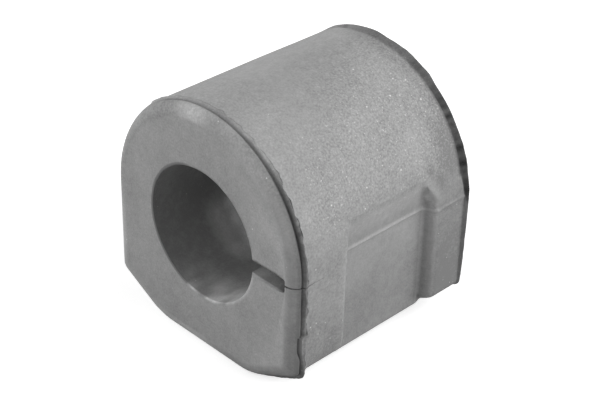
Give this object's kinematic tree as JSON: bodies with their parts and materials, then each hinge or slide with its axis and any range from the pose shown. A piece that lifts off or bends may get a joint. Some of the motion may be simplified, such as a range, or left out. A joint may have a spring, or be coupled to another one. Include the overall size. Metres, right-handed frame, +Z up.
{
  "type": "sway bar bushing",
  "caption": "Moulded rubber stabiliser bar bushing: arched block with a flat base, a through bore split on one side, and strap seats between end flanges.",
  "frame": {"origin": "centre of the flat base, where the bushing rests", "axes": "+Z up from the base to the arch, Y along the bore with the front end facing -Y, +X towards the split"},
  "size_m": [0.0414, 0.0384, 0.0425],
  "materials": {
    "rubber": "matt moulded rubber, grey with a dry talc bloom, slightly lighter on top"
  },
  "bodies": {
    "root": {"bushing": "rubber"}
  },
  "joints": []
}
